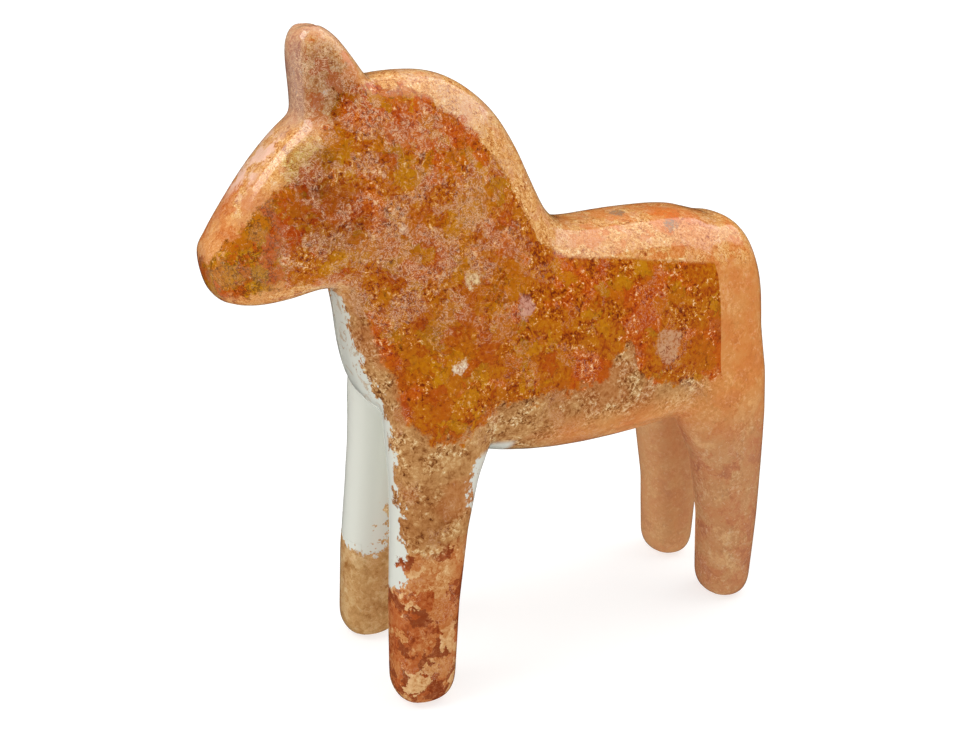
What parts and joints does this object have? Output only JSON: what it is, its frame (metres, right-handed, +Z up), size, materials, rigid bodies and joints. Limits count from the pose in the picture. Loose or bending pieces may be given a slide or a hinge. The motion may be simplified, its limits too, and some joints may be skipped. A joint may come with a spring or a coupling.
{
  "type": "dala horse figure",
  "caption": "Standing carved toy-horse ornament with an arched neck and block ears, lacquered white and dressed in sheets of translucent leaf.",
  "frame": {"origin": "on the ground under the middle of the horse's overall box", "axes": "-X where the horse faces, -Y its left side, +Z up"},
  "size_m": [0.1201, 0.0398, 0.13],
  "materials": {
    "white_lacquer": "glossy white lacquer over carved wood",
    "amber_leaf": "translucent amber leaf under clear gloss lacquer",
    "orange_leaf": "translucent orange-brown leaf under clear gloss lacquer",
    "pale_leaf": "translucent pinkish beige leaf under clear gloss lacquer"
  },
  "bodies": {
    "root": {"horse_body": "white_lacquer", "face_leaf": "pale_leaf", "muzzle_leaf": "amber_leaf", "cheek_leaf_left": "orange_leaf", "cheek_leaf_right": "orange_leaf", "ear_leaf_left": "pale_leaf", "ear_leaf_right": "pale_leaf", "crest_leaf": "pale_leaf", "neck_leaf_left": "amber_leaf", "neck_leaf_right": "amber_leaf", "shoulder_leaf_left": "amber_leaf", "shoulder_leaf_right": "amber_leaf", "back_leaf": "pale_leaf", "flank_leaf_left": "amber_leaf", "flank_leaf_right": "amber_leaf", "belly_leaf": "pale_leaf", "rump_leaf": "pale_leaf", "front_leg_leaf_left": "orange_leaf", "front_leg_leaf_right": "orange_leaf", "hind_leg_leaf_left": "pale_leaf", "hind_leg_leaf_right": "pale_leaf"}
  },
  "joints": []
}
